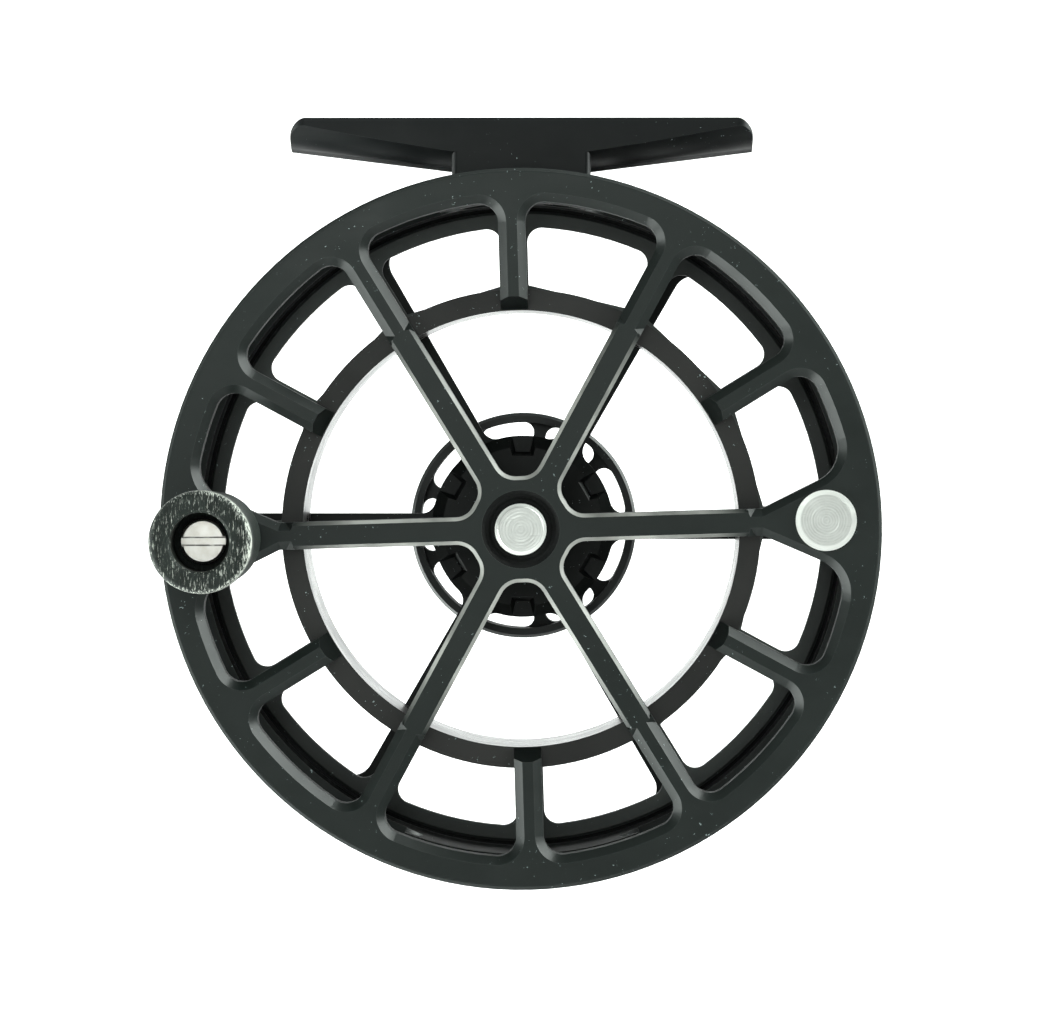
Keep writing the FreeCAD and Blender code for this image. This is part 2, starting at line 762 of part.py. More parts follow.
def frame_back_plate():
    """Rear ring, six spokes and the cup that houses the drag."""
    rear_ring = [
        ("ring_inner_radius", "rear_ring_front"),
        ("ring_outer_radius", "rear_ring_front"),
        ("ring_outer_radius", "frame_back - 1.2"),
        ("ring_outer_radius - 1.2", "frame_back"),
        ("housing_radius - 0.5", "frame_back"),
        ("housing_radius - 0.5", "frame_spoke_front"),
        ("ring_inner_radius", "frame_spoke_front"),
    ]
    cup = [
        ("sleeve_hole_radius", "housing_front"),
        ("housing_radius - 1.6", "housing_front"),
        ("housing_radius", "housing_front + 0.9"),
        ("housing_radius", "housing_back"),
        ("housing_bore", "housing_back"),
        ("housing_bore", "snap_groove_back"),
        ("snap_groove_radius", "snap_groove_back"),
        ("snap_groove_radius", "snap_groove_front"),
        ("housing_bore", "snap_groove_front"),
        ("housing_bore", "housing_wall_back"),
        ("sleeve_hole_radius", "housing_wall_back"),
        ("sleeve_hole_radius", "seal_groove_back"),
        ("seal_groove_radius", "seal_groove_back"),
        ("seal_groove_radius", "seal_groove_front"),
        ("sleeve_hole_radius", "seal_groove_front"),
    ]
    body = turned("frame_back_plate", rear_ring)
    hub = new_sketch(body, "cup", "XY_Plane")
    add_loop(hub, cup)
    revolve(body, hub)
    openings = new_sketch(body, "openings", "XZ_Plane", "-frame_spoke_front + 0.5")
    half = size("frame_spoke_width") / 2
    for arm in range(0, 360, 60):
        frame_opening(openings, arm, half)
    extrude(body, openings, "frame_back - frame_spoke_front + 2", cut=True)
    bevels = new_sketch(body, "bevels", "XZ_Plane", "-frame_back")
    for arm in range(0, 360, 60):
        frame_opening(bevels, arm, half, size("frame_bevel"))
    extrude(body, bevels, "frame_bevel", cut=True, forward=True, taper="-45")
    scoop = new_sketch(body, "scoop", "XZ_Plane", "-housing_front")
    add_loop(scoop, [
        ("-scoop_inner_width / 2", "housing_radius - scoop_reach"),
        ("scoop_inner_width / 2", "housing_radius - scoop_reach"),
        ("scoop_outer_width / 2", "housing_radius + 1"),
        ("-scoop_outer_width / 2", "housing_radius + 1"),
    ])
    around(body, extrude(body, scoop, "scoop_depth", cut=True, taper="-30"), "6")
    ball_hole = new_sketch(body, "ball_hole", "XZ_Plane", "-housing_back")
    add_circle(ball_hole, "0", "detent_orbit", "detent_ball_radius + 0.05")
    extrude(body, ball_hole, "2.3", cut=True, forward=True)
    place(body)


def frame_opening(sketch, arm, half, grow=0.0):
    """One of the six openings between the frame's spokes; grow widens it all round."""
    half -= grow
    low, high = hub_end(sketch, arm, half, size("housing_radius"), size("frame_hub_fillet") + grow)
    rim = size("back_lip_inner") + grow
    fillet = size("frame_corner_radius") + grow
    first = corner(arm, 1, half, rim, fillet, 10)
    last = corner(arm + 60, -1, half, rim, fillet, 10)
    line_up(sketch, [low, first[2]])
    sketch.addGeometry(Part.Arc(first[2], first[3], first[4]), False)
    rim_arc(sketch, first[4], last[4], rim)
    sketch.addGeometry(Part.Arc(last[4], last[3], last[2]), False)
    line_up(sketch, [last[2], high])


def crossbar(label, angle, turn, holes=False):
    """A bar between the frame's rings, waisted by a round scoop at each end."""
    profile = box_profile("ring_inner_radius", "ring_outer_radius", "front_ring_back", "rear_ring_front")
    body = turned(label, profile, angle=angle)
    scoops = new_sketch(body, "scoops", "YZ_Plane")
    for sign in ("", "-"):
        add_circle(scoops, "(front_ring_back + rear_ring_front) / 2",
                   "%s(ring_outer_radius * sin(%s / 2 * 1 deg) - 0.4)" % (sign, angle), "scoop_radius")
    extrude(body, scoops, "120", cut=True, both=True)
    if holes:
        drill = new_sketch(body, "screw_holes", "YZ_Plane")
        seats = new_sketch(body, "screw_seats", "YZ_Plane")
        for sign in ("", "-"):
            add_circle(drill, "foot_centre_depth", sign + "foot_screw_offset", "foot_screw_radius")
            add_circle(seats, "foot_centre_depth", sign + "foot_screw_offset",
                       "foot_screw_head_radius + 0.05")
        extrude(body, drill, "120", cut=True, both=True)
        extrude(body, seats, "2 * foot_screw_bottom + 3.2", cut=True, both=True)
    place(body, turn=turn)


def frame_crossbars():
    """Lower pillar and the bridge that carries the foot."""
    crossbar("frame_lower_pillar", "pillar_angle", 90)
    crossbar("frame_foot_bridge", "bridge_angle", -90, holes=True)


def foot_blade():
    """The blade: coned underneath, about the rod's axis, and hollowed to sit on the rod."""
    body = new_body("foot_blade")
    sketch = new_sketch(body, "profile", "XY_Plane")
    add_loop(sketch, [
        ("rod_radius", "-foot_length / 2"),
        ("foot_tip_radius", "-foot_length / 2"),
        ("foot_root_radius", "-pedestal_width / 2"),
        ("foot_root_radius", "pedestal_width / 2"),
        ("foot_tip_radius", "foot_length / 2"),
        ("rod_radius", "foot_length / 2"),
    ])
    revolve(body, sketch)
    body.Placement.Rotation = Rotation(Vector(0, 0, 1), -90)
    body.setExpression("Placement.Base.y", cell("foot_centre_depth"))
    body.setExpression("Placement.Base.z", cell("rod_axis_height"))
    return body


def foot_plan():
    """The block that trims the blade to its width, its length and its flat rails."""
    block = document.addObject("Part::Box", "foot_block")
    block.setExpression("Length", cell("foot_length"))
    block.setExpression("Width", cell("foot_width"))
    block.setExpression("Height", cell("foot_top - foot_block_bottom"))
    block.setExpression("Placement.Base.x", cell("-foot_length / 2"))
    block.setExpression("Placement.Base.y", cell("foot_centre_depth - foot_width / 2"))
    block.setExpression("Placement.Base.z", cell("foot_block_bottom"))
    return rounded_posts("foot_plan", block, "foot_corner_radius")


def rounded_posts(label, block, radius):
    """A block with its four upright edges rounded."""
    document.recompute()
    upright = [number for number, edge in enumerate(block.Shape.Edges, start=1)
               if abs(edge.tangentAt(edge.FirstParameter).z) > 0.99]
    fillet = document.addObject("Part::Fillet", label)
    fillet.Base = block
    fillet.Edges = [(number, size(radius), size(radius)) for number in upright]
    document.recompute()
    return fillet


def reel_foot():
    """Foot: the blade under the rod, and the pedestal that stands on the frame."""
    blade = document.addObject("Part::Common", "foot_blade_trimmed")
    blade.Base = foot_blade()
    blade.Tool = foot_plan()
    block = document.addObject("Part::Box", "pedestal_block")
    block.setExpression("Length", cell("pedestal_width"))
    block.setExpression("Width", cell("pedestal_depth"))
    block.setExpression("Height", cell("rod_axis_height - rod_radius - pedestal_bottom"))
    block.setExpression("Placement.Base.x", cell("-pedestal_width / 2"))
    block.setExpression("Placement.Base.y", cell("foot_centre_depth - pedestal_depth / 2"))
    block.setExpression("Placement.Base.z", cell("pedestal_bottom"))
    pedestal = rounded_posts("pedestal", block, "pedestal_corner_radius")
    joined = document.addObject("Part::MultiFuse", "foot_joined")
    joined.Shapes = [blade, pedestal]
    cuts = [
        foot_bore("frame_clearance", "ring_outer_radius", "120", (0, -20, 0), (1, 0, 0), -90),
        foot_bore("rod_clearance", "rod_radius", "120", None, (0, 1, 0), 90),
    ]
    for name, sign in (("left", "-"), ("right", "")):
        hole = document.addObject("Part::Cylinder", name + "_screw_hole")
        hole.setExpression("Radius", cell("foot_screw_radius"))
        hole.setExpression("Height", cell("foot_screw_top"))
        hole.setExpression("Placement.Base.x", cell(sign + "foot_screw_offset"))
        hole.setExpression("Placement.Base.y", cell("foot_centre_depth"))
        cuts.append(hole)
    tool = document.addObject("Part::MultiFuse", "foot_cuts")
    tool.Shapes = cuts
    place(cut_away("reel_foot", joined, tool))


def foot_bore(name, radius, height, base, axis, angle):
    """A round cutter lying along the axle or along the rod."""
    cutter = document.addObject("Part::Cylinder", name)
    cutter.setExpression("Radius", cell(radius))
    cutter.setExpression("Height", cell(height))
    cutter.Placement = Placement(Vector(base or (-60, 0, 0)), Rotation(Vector(axis), angle))
    if base is None:
        cutter.setExpression("Placement.Base.y", cell("foot_centre_depth"))
        cutter.setExpression("Placement.Base.z", cell("rod_axis_height"))
    return cutter


def foot_screws():
    """Two socket screws from inside the bridge up into the pedestal."""
    screws = []
    for name, sign in (("left", "-"), ("right", "")):
        head = document.addObject("Part::Cylinder", name + "_screw_head")
        head.setExpression("Radius", cell("foot_screw_head_radius"))
        head.setExpression("Height", cell("foot_screw_head_height"))
        shank = document.addObject("Part::Cylinder", name + "_screw_shank")
        shank.setExpression("Radius", cell("foot_screw_radius"))
        shank.setExpression("Height", cell("foot_screw_top - foot_screw_bottom - 0.2"))
        socket = document.addObject("Part::Prism", name + "_screw_socket")
        socket.Polygon = 6
        socket.setExpression("Circumradius", cell("foot_socket_radius"))
        socket.setExpression("Height", cell("foot_socket_depth"))
        for piece in (head, shank, socket):
            piece.setExpression("Placement.Base.x", cell(sign + "foot_screw_offset"))
            piece.setExpression("Placement.Base.y", cell("foot_centre_depth"))
            piece.setExpression("Placement.Base.z", cell("foot_screw_bottom"))
        whole = document.addObject("Part::Fuse", name + "_screw_whole")
        whole.Base = head
        whole.Tool = shank
        screws.append(cut_away(name + "_foot_screw", whole, socket))
    place(gather("foot_screws", screws))


# ---------------------------------------------------------------- axle and drag

def spindle():
    """Fixed axle with the drag housing's cover and the knob's stud in one piece."""
    body = turned("spindle", [
        ("0", "spindle_tip"),
        ("spindle_neck_radius - 0.3", "spindle_tip"),
        ("spindle_radius - 0.3", "spindle_tip + 0.7"),
        ("spindle_radius - 0.3", "clip_groove_front"),
        ("spindle_neck_radius", "clip_groove_front + 0.05"),
        ("spindle_neck_radius", "clip_groove_back - 0.05"),
        ("spindle_radius", "clip_groove_back"),
        ("spindle_radius", "cover_front"),
        ("cover_radius", "cover_front"),
        ("cover_radius", "cover_back"),
        ("stud_radius", "cover_back"),
        ("stud_radius", "stud_back"),
        ("stud_hole_radius", "stud_back"),
        ("stud_hole_radius", "stud_back - 4.6"),
        ("0", "stud_back - 4.6"),
    ])
    holes = new_sketch(body, "pin_holes", "XZ_Plane", "-cover_front + 0.5")
    add_circle(holes, "push_pin_orbit", "0", "push_pin_radius + 0.06")
    around(body, extrude(body, holes, "2.5", cut=True), "3")
    place(body)


def spring_section(start, sense):
    """Half section of a conical disc spring that rises from its inner edge, forwards or backwards."""
    return [
        ("spring_inner", start),
        ("spring_inner + 0.4", start),
        ("spring_outer", "%s %s spring_rise" % (start, sense)),
        ("spring_outer", "%s %s (spring_rise + spring_thickness)" % (start, sense)),
        ("spring_outer - 0.4", "%s %s (spring_rise + spring_thickness)" % (start, sense)),
        ("spring_inner", "%s %s spring_thickness" % (start, sense)),
    ]


def drag_stack():
    """Discs, plates and springs inside the drag housing."""
    place(ring("drag_fixed_plate", "sleeve_seat_radius + 0.3", "cover_radius", "gear_back + 0.2",
               "gear_back + 1.0"))
    place(ring("friction_disc_front", "disc_inner", "disc_outer", "gear_back + 1.05", "rotor_front - 0.05"))
    place(ring("friction_disc_rear", "disc_inner", "disc_outer", "rotor_back + 0.05", "rotor_back + 0.65"))
    place(ring("pressure_plate", "spindle_radius + 0.3", "cover_radius", "rotor_back + 0.7",
               "rotor_back + 1.5"))
    front = spring_section("rotor_back + 1.55", "+")
    back = spring_section("washer_front - 0.05", "-")
    place(turned("belleville_springs", front, back))
    place(open_ring("housing_snap_ring", "9.9", "snap_groove_radius - 0.05",
                    "snap_groove_front + 0.03", "snap_groove_back - 0.03", angle="300"))
    seal = new_body("front_seal")
    section = new_sketch(seal, "section", "XY_Plane")
    add_circle(section, "sleeve_hole_radius + 0.45", "(seal_groove_front + seal_groove_back) / 2", "0.42")
    revolve(seal, section)
    place(seal)


def drag_rotor():
    """Drive sleeve with its bushes, the click gear and the rotor disc."""
    place(turned("drag_drive_sleeve", [
        ("sleeve_bore", "sleeve_front"),
        ("sleeve_radius", "sleeve_front"),
        ("sleeve_radius", "sleeve_seat_front"),
        ("sleeve_seat_radius", "sleeve_seat_front"),
        ("sleeve_seat_radius", "sleeve_back"),
        ("sleeve_bore", "sleeve_back"),
    ]))
    place(turned("sleeve_bushes",
                 box_profile("spindle_radius + running_gap", "sleeve_bore", "sleeve_front + 0.2",
                             "sleeve_front + 3"),
                 box_profile("spindle_radius + running_gap", "sleeve_bore", "sleeve_back - 4",
                             "sleeve_back - 0.3")))
    place(ring("drag_rotor_disc", "sleeve_seat_radius", "disc_outer - 0.4", "rotor_front", "rotor_back"))
    gear = ring("click_gear", "sleeve_seat_radius", "gear_root_radius", "gear_front", "gear_back")
    teeth = new_sketch(gear, "teeth", "XZ_Plane", "-gear_front")
    count = int(size("gear_teeth"))
    outline = []
    for i in range(count):
        outline.append(polar(size("gear_tip_radius"), 360.0 * i / count))
        outline.append(polar(size("gear_root_radius"), 360.0 * (i + 0.5) / count))
    line_up(teeth, outline + outline[:1])
    teeth.addGeometry(Part.Circle(Vector(), Vector(0, 0, 1), size("gear_root_radius") - 0.4), False)
    extrude(gear, teeth, "gear_back - gear_front", forward=True)
    place(gear)


def clicker():
    """Pawl that rides on the click gear, with its pin and leaf spring."""
    pivot = polar(size("pawl_orbit"), size("pawl_angle"))
    aim = size("pawl_angle") + 37.5
    pawl = new_body("click_pawl")
    boss = new_sketch(pawl, "boss", "XZ_Plane", "-gear_front")
    boss.addGeometry(Part.Circle(pivot, Vector(0, 0, 1), 1.5), False)
    extrude(pawl, boss, "gear_back - gear_front", forward=True)
    lever = new_sketch(pawl, "lever", "XZ_Plane", "-gear_front")
    outline = [polar(9.9, aim - 35), polar(9.9, aim + 1.5), polar(8.6, aim + 4), polar(7.3, aim + 3),
               polar(6.45, aim), polar(7.3, aim - 3), polar(8.4, aim - 5), polar(8.4, aim - 33)]
    line_up(lever, outline + outline[:1])
    extrude(pawl, lever, "gear_back - gear_front", forward=True)
    hole = new_sketch(pawl, "hole", "XZ_Plane", "-gear_front + 1")
    hole.addGeometry(Part.Circle(pivot, Vector(0, 0, 1), size("pawl_pin_radius") + 0.05), False)
    extrude(pawl, hole, "5", cut=True)
    place(pawl)
    place(rods("click_pawl_pin", size("pawl_orbit"), size("housing_wall_back"),
               "gear_back - housing_wall_back + 0.15", "pawl_pin_radius", 1, start=size("pawl_angle")))
    leaf = turned("click_leaf_spring",
                  box_profile("9.95", "10.2", "gear_front + 0.2", "gear_back - 0.2"), angle="50")
    place(leaf, turn=-(aim + 15))


def knob_drive():
    """Hexagonal nut in the knob, the push pins and the thrust washer they bear on."""
    hexagon = document.addObject("Part::Prism", "nut_hexagon")
    hexagon.Polygon = 6
    hexagon.setExpression("Circumradius", cell("nut_radius"))
    hexagon.setExpression("Height", cell("nut_back - nut_front"))
    bore = document.addObject("Part::Cylinder", "nut_bore")
    bore.setExpression("Radius", cell("stud_radius + running_gap"))
    bore.Height = 10
    for piece in (hexagon, bore):
        piece.Placement.Rotation = Rotation(Vector(1, 0, 0), -90)
    hexagon.setExpression("Placement.Base.y", cell("nut_front"))
    bore.setExpression("Placement.Base.y", cell("nut_front - 2"))
    place(cut_away("drag_nut", hexagon, bore))
    place(rods("push_pins", size("push_pin_orbit"), size("washer_back"), "nut_front - washer_back",
               "push_pin_radius", 3))
    place(ring("thrust_washer", "spindle_radius + 0.3", "cover_radius - 0.4", "washer_front", "washer_back"))


def drag_knob():
    """Rear knob: an outer ring carried on a slotted web."""
    body = turned("drag_knob", [
        ("stud_radius + 0.08", "knob_web_front"),
        ("knob_ring_inner", "knob_web_front"),
        ("knob_ring_inner", "knob_ring_front"),
        ("knob_radius - 0.4", "knob_ring_front"),
        ("knob_radius", "knob_ring_front + 0.4"),
        ("knob_radius", "knob_back - 0.9"),
        ("knob_radius - 0.9", "knob_back"),
        ("stud_radius + 0.08", "knob_back"),
    ])
    slots = new_sketch(body, "slots", "XZ_Plane", "-knob_web_front + 1")
    step = 360.0 / size("knob_slots")
    inner = size("knob_slot_inner")
    for i in range(int(size("knob_slots"))):
        window(slots, i * step, (i + 1) * step, size("knob_ring_inner"), size("knob_slot_corner"),
               size("knob_rib_width") / 2, inner, inner)
    extrude(body, slots, "8", cut=True)
    recess = new_sketch(body, "nut_recess", "XZ_Plane", "-knob_web_front + 1")
    hexagon = [polar(size("nut_radius") + 0.25, 60 * i) for i in range(7)]
    line_up(recess, hexagon)
    extrude(body, recess, "knob_recess_back - knob_web_front + 1", cut=True)
    dimples = new_sketch(body, "dimple", "XZ_Plane", "-knob_web_front + 1")
    add_circle(dimples, "0", "detent_orbit", "0.3")
    around(body, extrude(body, dimples, "1.3", cut=True), "24")
    place(body)
    screw = turned("knob_screw", [
        ("0", "stud_back - 4.4"),
        ("stud_hole_radius", "stud_back - 4.4"),
        ("stud_hole_radius", "stud_back"),
        ("4.2", "stud_back"),
        ("4.2", "stud_back + 0.7"),
        ("3.2", "stud_back + 1.5"),
        ("0", "stud_back + 1.6"),
    ])
    socket = new_sketch(screw, "socket", "XZ_Plane", "-stud_back - 2.5")
    line_up(socket, [polar(1.45, 60 * i) for i in range(7)])
    extrude(screw, socket, "2.2", cut=True, forward=True)
    place(screw)


def detent():
    """Ball and spring that give the knob its clicks."""
    ball = balls("detent", 0.0, size("knob_web_front") - 0.02 - size("detent_ball_radius"),
                 "detent_ball_radius", 1)
    place(gather("detent_ball", ball), orbit=(0, 0, size("detent_orbit")))
    housing_back = size("housing_back")
    spring = coil("detent_spring", 0.38, 0.1, housing_back - 2.25, housing_back - 0.95, 4)
    place(spring, orbit=(0, 0, size("detent_orbit")))


spool_front_flange()
spool_arbor()
spool_rear_flange()
spool_fittings()
release_button()
spool_bearings()
handle_knob()
handle_fittings()
frame_rings()
frame_back_plate()
frame_crossbars()
reel_foot()
foot_screws()
spindle()
drag_stack()
drag_rotor()
clicker()
knob_drive()
drag_knob()
detent()

document.recompute()
os.makedirs("parts", exist_ok=True)
for item in document.Objects:
    if "Invalid" in item.State or "Error" in item.State:
        raise RuntimeError("%s failed: %s" % (item.Label, item.State))
for label, part in PARTS.items():
    shape = part.Shape
    if shape.isNull() or not shape.isValid():
        raise RuntimeError("%s has no valid shape" % label)
    shape.exportStep("parts/%s.step" % label)
    print("%-26s %9.1f mm3 %2d solid(s)" % (label, shape.Volume, len(shape.Solids)))
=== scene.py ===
"""Visual model of a fly reel: procedural materials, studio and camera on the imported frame.

Metres, in the frame's own axes: +X along the rod, +Y from the spool's handle side to the
drag knob, +Z from the reel's axle up to the rod.
"""
import math

import bpy
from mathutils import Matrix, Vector


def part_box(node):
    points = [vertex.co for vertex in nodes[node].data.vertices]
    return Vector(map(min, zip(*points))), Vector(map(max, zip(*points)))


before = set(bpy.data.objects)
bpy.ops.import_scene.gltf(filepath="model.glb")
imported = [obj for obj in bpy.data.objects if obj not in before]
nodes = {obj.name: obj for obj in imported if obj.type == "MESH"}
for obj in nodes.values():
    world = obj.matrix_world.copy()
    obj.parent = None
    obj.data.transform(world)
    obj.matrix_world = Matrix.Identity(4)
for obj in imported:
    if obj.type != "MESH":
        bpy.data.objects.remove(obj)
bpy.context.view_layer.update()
MM = 0.001


def middle(node):
    low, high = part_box(node)
    return (low + high) / 2


def outer_radius(node):
    """A round node's radius in millimetres, to the tenth: its mesh is a little smaller."""
    low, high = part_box(node)
    return round((high.x - low.x) / 2 / MM, 1)


AXLE = middle("frame_back_plate")
HANDLE = middle("handle_knob")
WEIGHT = middle("counterweight")
BUTTON = middle("release_button")
FACE_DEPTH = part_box("spool_front_flange")[0].y


# ---------------------------------------------------------------- node helpers

class Tree:
    """A material's node tree, with short calls for the nodes used here."""

    def __init__(self, name):
        self.material = bpy.data.materials.new(name)
        self.material.use_nodes = True
        self.nodes = self.material.node_tree.nodes
        self.links = self.material.node_tree.links
        self.surface = self.nodes["Principled BSDF"]
        self.place = self.nodes.new("ShaderNodeTexCoord").outputs["Object"]

    def link(self, source, target):
        self.links.new(source, target)

    def axes(self, vector):
        """The X, Y and Z of a vector."""
        split = self.nodes.new("ShaderNodeSeparateXYZ")
        self.link(vector, split.inputs[0])
        return split.outputs["X"], split.outputs["Y"], split.outputs["Z"]

    def math(self, operation, first, second=None, clamp=False):
        node = self.nodes.new("ShaderNodeMath")
        node.operation = operation
        node.use_clamp = clamp
        for slot, value in zip(node.inputs, (first, second)):
            if isinstance(value, (int, float)):
                slot.default_value = value
            elif value is not None:
                self.link(value, slot)
        return node.outputs["Value"]

    def noise(self, size_mm, detail=3.0, stretch=(1, 1, 1), rough=0.55, shift=(0, 0, 0)):
        """Noise whose features are about size_mm across, stretched along some axes."""
        mapping = self.nodes.new("ShaderNodeMapping")
        mapping.inputs["Scale"].default_value = Vector([1 / (size_mm * MM * s) for s in stretch])
        mapping.inputs["Location"].default_value = shift
        self.link(self.place, mapping.inputs["Vector"])
        node = self.nodes.new("ShaderNodeTexNoise")
        node.inputs["Scale"].default_value = 1.0
        node.inputs["Detail"].default_value = detail
        node.inputs["Roughness"].default_value = rough
        self.link(mapping.outputs["Vector"], node.inputs["Vector"])
        return node.outputs["Fac"]

    def ramp(self, value, low, high, start=0.0, end=1.0):
        """Value from low to high becomes start to end, clamped."""
        node = self.nodes.new("ShaderNodeMapRange")
        self.link(value, node.inputs["Value"])
        for name, number in (("From Min", low), ("From Max", high), ("To Min", start), ("To Max", end)):
            node.inputs[name].default_value = number
        return node.outputs["Result"]

    def mix(self, factor, first, second):
        """Two colours mixed by a factor; a colour may be another mix."""
        node = self.nodes.new("ShaderNodeMix")
        node.data_type = "RGBA"
        self.link(factor, node.inputs["Factor"])
        for slot, value in ((node.inputs[6], first), (node.inputs[7], second)):
            if isinstance(value, (tuple, list)):
                slot.default_value = (*value, 1.0)
            else:
                self.link(value, slot)
        return node.outputs[2]

    def radius(self, centre, squash=(1, 0, 1)):
        """Distance from an axis along Y through a centre, in millimetres."""
        mapping = self.nodes.new("ShaderNodeMapping")
        mapping.vector_type = "POINT"
        mapping.inputs["Location"].default_value = [-c * s / MM for c, s in zip(centre, squash)]
        mapping.inputs["Scale"].default_value = [s / MM for s in squash]
        self.link(self.place, mapping.inputs["Vector"])
        length = self.nodes.new("ShaderNodeVectorMath")
        length.operation = "LENGTH"
        self.link(mapping.outputs["Vector"], length.inputs[0])
        return length.outputs["Value"]

    def edges(self, width_mm, low=0.004, high=0.1):
        """1 on sharp edges and 0 on flats."""
        bevel = self.nodes.new("ShaderNodeBevel")
        bevel.samples = 4
        bevel.inputs["Radius"].default_value = width_mm * MM
        geometry = self.nodes.new("ShaderNodeNewGeometry")
        dot = self.nodes.new("ShaderNodeVectorMath")
        dot.operation = "DOT_PRODUCT"
        self.link(bevel.outputs["Normal"], dot.inputs[0])
        self.link(geometry.outputs["Normal"], dot.inputs[1])
        return self.ramp(self.math("SUBTRACT", 1.0, dot.outputs["Value"]), low, high)

    def bevel_faces(self, slope=0.707, spread=0.14):
        """1 on faces that slope between the reel's face plane and its axle, 0 on flats and walls."""
        geometry = self.nodes.new("ShaderNodeNewGeometry")
        _, facing, _ = self.axes(geometry.outputs["True Normal"])
        off = self.math("ABSOLUTE", self.math("ADD", facing, slope))
        return self.ramp(off, spread, spread * 0.6)

    def bump(self, height, depth_mm, below=None, strength=1.0):
        node = self.nodes.new("ShaderNodeBump")
        node.inputs["Distance"].default_value = depth_mm * MM
        node.inputs["Strength"].default_value = strength
        self.link(height, node.inputs["Height"])
        if below is not None:
            self.link(below, node.inputs["Normal"])
        return node.outputs["Normal"]

    def finish(self, colour=None, roughness=None, normal=None, metallic=None, **numbers):
        slots = self.surface.inputs
        for name, value in (("Base Color", colour), ("Roughness", roughness), ("Normal", normal),
                            ("Metallic", metallic)):
            if value is None:
                continue
            if isinstance(value, (tuple, list)):
                slots[name].default_value = (*value, 1.0)
            elif isinstance(value, (int, float)):
                slots[name].default_value = value
            else:
                self.link(value, slots[name])
        for name, value in numbers.items():
            slots[name.replace("_", " ").title().replace("Ior", "IOR")].default_value = value
        return self.material


def dress(material, *names):
    """Give CAD nodes a material."""
    for name in names:
        slots = nodes[name].data.materials
        slots.clear()
        slots.append(material)


# ---------------------------------------------------------------- materials

def anodised(name, base, sheen_low, sheen_high, seed, nicks=0.735, painted_bevel_highlights=False, rim_rough=0.0,
             ior=1.4, wall_rough=0.3, relief=None):
    """Satin anodised aluminium: milling grain, handling marks and nicks on the edges.

    Its bevel flag paints the bevels inside the arbor pale, a painted highlight, and darkens the steep
    slopes inside the arbor, at the rib ends, a painted shade. rim_rough and wall_rough are added to the
    roughness on the spool's rim and on walls along the axle.
    relief(tree, normal) may add a last bump of its own.
    """
    t = Tree(name)
    from_axle = t.radius(AXLE)
    rim = outer_radius("spool_front_flange")
    arbor = outer_radius("spool_arbor")
    grain = t.noise(0.16, detail=2, shift=(seed, 0, 0))
    cloud = t.noise(9.0, detail=4, shift=(seed, seed, 0))
    smear = t.noise(2.2, detail=4, stretch=(5, 1, 1), shift=(0, seed, 0))
    edge = t.edges(0.12)
    chips = t.ramp(t.noise(0.55, detail=4, rough=0.65, shift=(seed, 0, seed)), nicks, nicks + 0.03)
    area = t.ramp(t.noise(11.0, detail=1, shift=(0, 0, seed)), 0.5, 0.62)
    wear = t.math("MULTIPLY", t.math("MULTIPLY", edge, chips), area, clamp=True)
    tone = t.mix(t.ramp(cloud, 0.3, 0.7), base, tuple(c * 1.22 for c in base))
    # Every edge is mixed a tenth of the way to grey: partly rubbed wear, partly a painted highlight along
    # the edges. The colour named rubbed also carries the painted arbor highlight and shade below.
    rubbed = t.mix(t.math("MULTIPLY", edge, 0.1), tone, (0.2, 0.2, 0.2))
    if painted_bevel_highlights:
        # Painted highlight: bevels inside the arbor, more towards the hub and in patches, are painted pale
        # grey in place of the light they catch.
        inside = t.ramp(from_axle, arbor - 1.9, arbor - 10.7)
        fading = t.ramp(t.noise(7.0, detail=3, shift=(seed, 2, 3)), 0.3, 0.62, 0.35, 1.0)
        pale = t.math("MULTIPLY", t.math("MULTIPLY", t.bevel_faces(), inside), fading)
        rubbed = t.mix(t.math("MULTIPLY", pale, 0.62), rubbed, (0.5, 0.5, 0.47))
        # Painted shade: steep slopes inside the arbor, at the rib ends, are darkened to 0.4 of the base
        # colour.
        within = t.ramp(from_axle, arbor - 0.7, arbor - 0.9)
        painted_shade = t.math("MULTIPLY", t.bevel_faces(0.36, 0.12), within)
        rubbed = t.mix(t.math("MULTIPLY", painted_shade, 0.7), rubbed, tuple(c * 0.4 for c in base))
    speck = t.ramp(t.noise(0.55, detail=3, rough=0.7, shift=(9, seed, 9)), 0.69, 0.71)
    dusty = t.ramp(t.noise(14.0, detail=2, shift=(6, 0, seed)), 0.46, 0.6)
    dust = t.math("MULTIPLY", t.math("MULTIPLY", speck, dusty), 0.8)
    rubbed = t.mix(dust, rubbed, (0.34, 0.42, 0.42))
    colour = t.mix(wear, rubbed, (0.72, 0.72, 0.7))
    rough = t.math("ADD", t.ramp(cloud, 0.25, 0.75, sheen_low, sheen_high),
                   t.ramp(smear, 0.3, 0.7, -0.03, 0.03))
    rough = t.math("ADD", rough, t.ramp(from_axle, rim - 0.65, rim - 0.4, 0.0, rim_rough))
    rough = t.math("ADD", rough, t.math("MULTIPLY", t.bevel_faces(0.0, 0.3), wall_rough))
    normal = t.bump(grain, 0.006, strength=0.5)
    normal = t.bump(wear, -0.02, below=normal)
    if relief:
        normal = relief(t, normal)
    return t.finish(colour, rough, normal, ior=ior)


